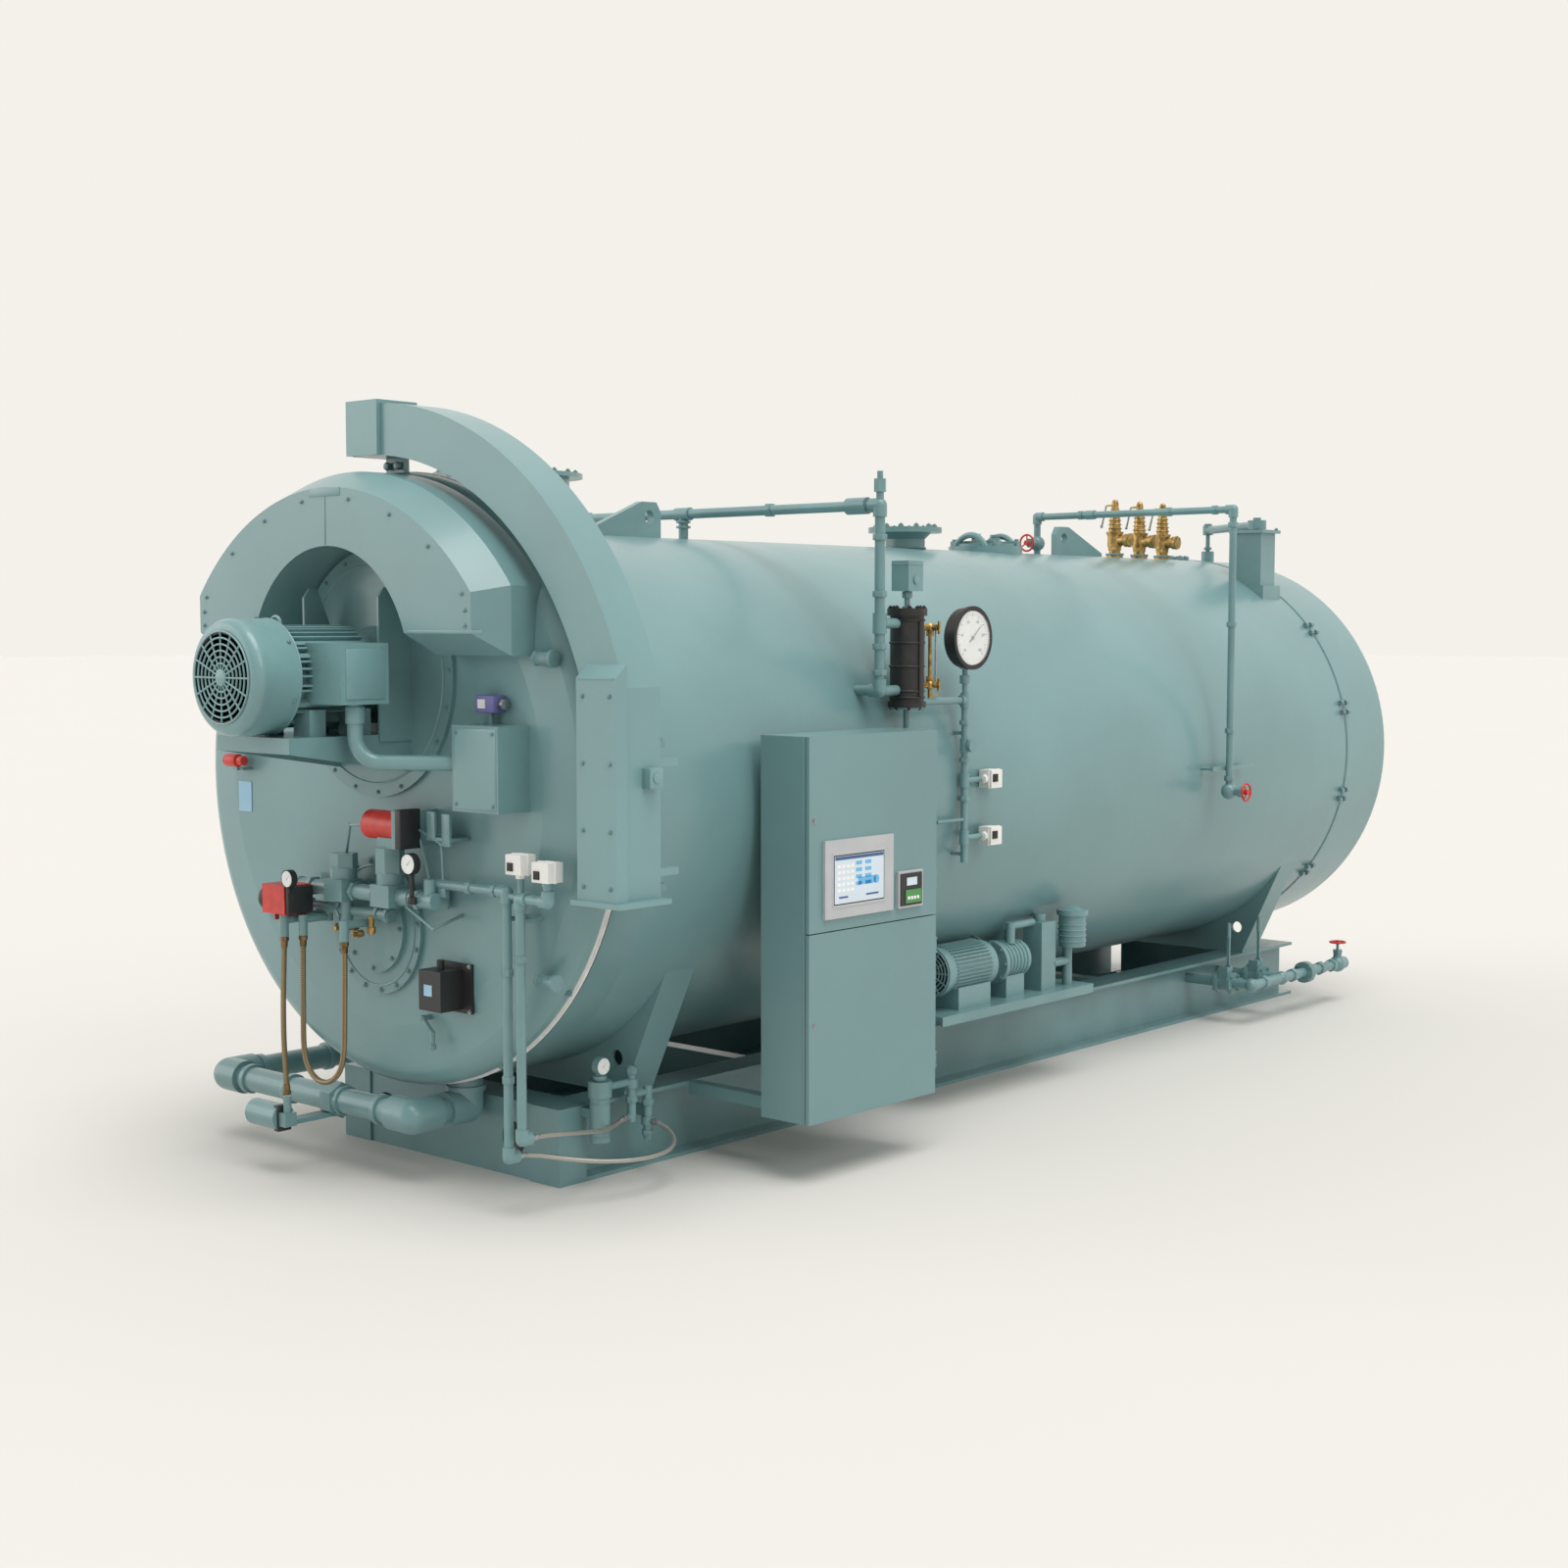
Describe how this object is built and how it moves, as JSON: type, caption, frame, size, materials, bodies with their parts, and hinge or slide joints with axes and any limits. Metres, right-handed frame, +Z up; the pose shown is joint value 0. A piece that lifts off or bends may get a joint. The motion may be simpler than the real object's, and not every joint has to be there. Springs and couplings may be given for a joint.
{
  "type": "industrial boiler",
  "caption": "Horizontal packaged steam boiler on a skid, with a hinged burner head, control cabinet, level column, relief valves and blowdown piping.",
  "frame": {"origin": "on the floor under the boiler's centre line, in the foot of the front cross-beam", "axes": "+Z up, +Y backwards along the boiler from the burner end, +X towards the side with the control cabinet"},
  "size_m": [2.9449, 8, 3.367],
  "materials": {
    "vessel_paint": "satin",
    "trim_paint": "satin",
    "black_iron": "matte",
    "brass": "satin",
    "red_paint": "gloss",
    "white_case": "matte",
    "bronze_hose": "satin",
    "air_hose": "satin",
    "rope_seal": "matte",
    "dark_case": "satin",
    "screen_glass": "gloss"
  },
  "bodies": {
    "boiler": {"air_compressor": "trim_paint", "air_regulator": "trim_paint", "air_separator": "trim_paint", "blowdown_pipes": "trim_paint", "boiler_shell": "vessel_paint", "cabinet_body": "trim_paint", "compressor_tray": "trim_paint", "control_pipe": "trim_paint", "cross_members": "trim_paint", "davit_hinge_post": "trim_paint", "equalizing_pipe": "trim_paint", "flue_outlet": "trim_paint", "front_collar": "vessel_paint", "front_crossbeam": "trim_paint", "front_gasket": "rope_seal", "front_tube_sheet": "vessel_paint", "gas_supply_pipe": "trim_paint", "gauge_glass": "brass", "lifting_lugs": "trim_paint", "low_gas_actuator": "red_paint", "lower_air_hose": "air_hose", "manway": "trim_paint", "pressure_gauge": "black_iron", "pressure_switches": "white_case", "rear_davit_column": "trim_paint", "saddles": "vessel_paint", "safety_valves": "brass", "skid_rails": "trim_paint", "steam_nozzle": "trim_paint", "upper_air_hose": "air_hose", "vent_pipe": "trim_paint", "water_column": "black_iron"},
    "burner_head": {"front_door": "vessel_paint", "davit_arm": "vessel_paint", "burner_housing": "vessel_paint", "door_plates": "trim_paint", "blower_motor": "trim_paint", "motor_cowl": "trim_paint", "motor_shelf": "trim_paint", "junction_box": "trim_paint", "motor_conduit": "trim_paint", "gas_manifold": "trim_paint", "gas_actuators": "red_paint", "ignition_box": "dark_case", "fuel_pipes": "trim_paint", "fuel_switches": "white_case", "straight_hose": "bronze_hose", "loop_hose": "bronze_hose"},
    "rear_arm": {"rear_davit_arm": "trim_paint"},
    "rear_head": {"rear_door": "vessel_paint"},
    "upper_panel": {"cabinet_upper_door": "trim_paint", "operator_screen": "screen_glass"},
    "lower_panel": {"cabinet_lower_door": "trim_paint"},
    "top_vent_wheel": {"vent_handwheel": "red_paint"},
    "side_vent_wheel": {"side_vent_handwheel": "red_paint"},
    "drain_wheel": {"drain_handwheel": "red_paint"},
    "front_lever": {"front_blowdown_lever": "trim_paint"},
    "rear_lever": {"rear_blowdown_lever": "trim_paint"}
  },
  "joints": [
    {"name": "burner_head_swing", "type": "hinge", "parent": "boiler", "child": "burner_head", "pos_m": [1.46, -0.24, 1.66], "axis": [0, 0, 1], "range_deg": [0, 100]},
    {"name": "rear_arm_swing", "type": "hinge", "parent": "boiler", "child": "rear_arm", "pos_m": [0.65, 6.02, 3.045], "axis": [0, 0, 1], "range_deg": [-75, 0]},
    {"name": "rear_head_turn", "type": "hinge", "parent": "rear_arm", "child": "rear_head", "pos_m": [0, 6.53, 2.9], "axis": [0, 0, 1], "range_deg": [0, 75]},
    {"name": "upper_panel_hinge", "type": "hinge", "parent": "boiler", "child": "upper_panel", "pos_m": [1.53, 1.514, 1.5], "axis": [0, 0, 1], "range_deg": [0, 110]},
    {"name": "lower_panel_hinge", "type": "hinge", "parent": "boiler", "child": "lower_panel", "pos_m": [1.53, 1.514, 0.7], "axis": [0, 0, 1], "range_deg": [0, 110]},
    {"name": "top_vent_turn", "type": "hinge", "parent": "boiler", "child": "top_vent_wheel", "pos_m": [0, 4.42, 2.902], "axis": [0, -1, 0], "range_deg": [0, 1080]},
    {"name": "side_vent_turn", "type": "hinge", "parent": "boiler", "child": "side_vent_wheel", "pos_m": [1.435, 4.52, 1.47], "axis": [1, 0, 0], "range_deg": [0, 1080]},
    {"name": "drain_turn", "type": "hinge", "parent": "boiler", "child": "drain_wheel", "pos_m": [1.1, 6.34, 0.375], "axis": [0, 0, 1], "range_deg": [0, 1080]},
    {"name": "front_lever_turn", "type": "hinge", "parent": "boiler", "child": "front_lever", "pos_m": [0.926, 5.25, 0.32], "axis": [0, 1, 0], "range_deg": [0, 90]},
    {"name": "rear_lever_turn", "type": "hinge", "parent": "boiler", "child": "rear_lever", "pos_m": [0.926, 5.62, 0.32], "axis": [0, 1, 0], "range_deg": [0, 90]}
  ],
  "couplings": [
    {"joint": "rear_arm_swing", "follows": "rear_head_turn", "ratio": -1}
  ]
}
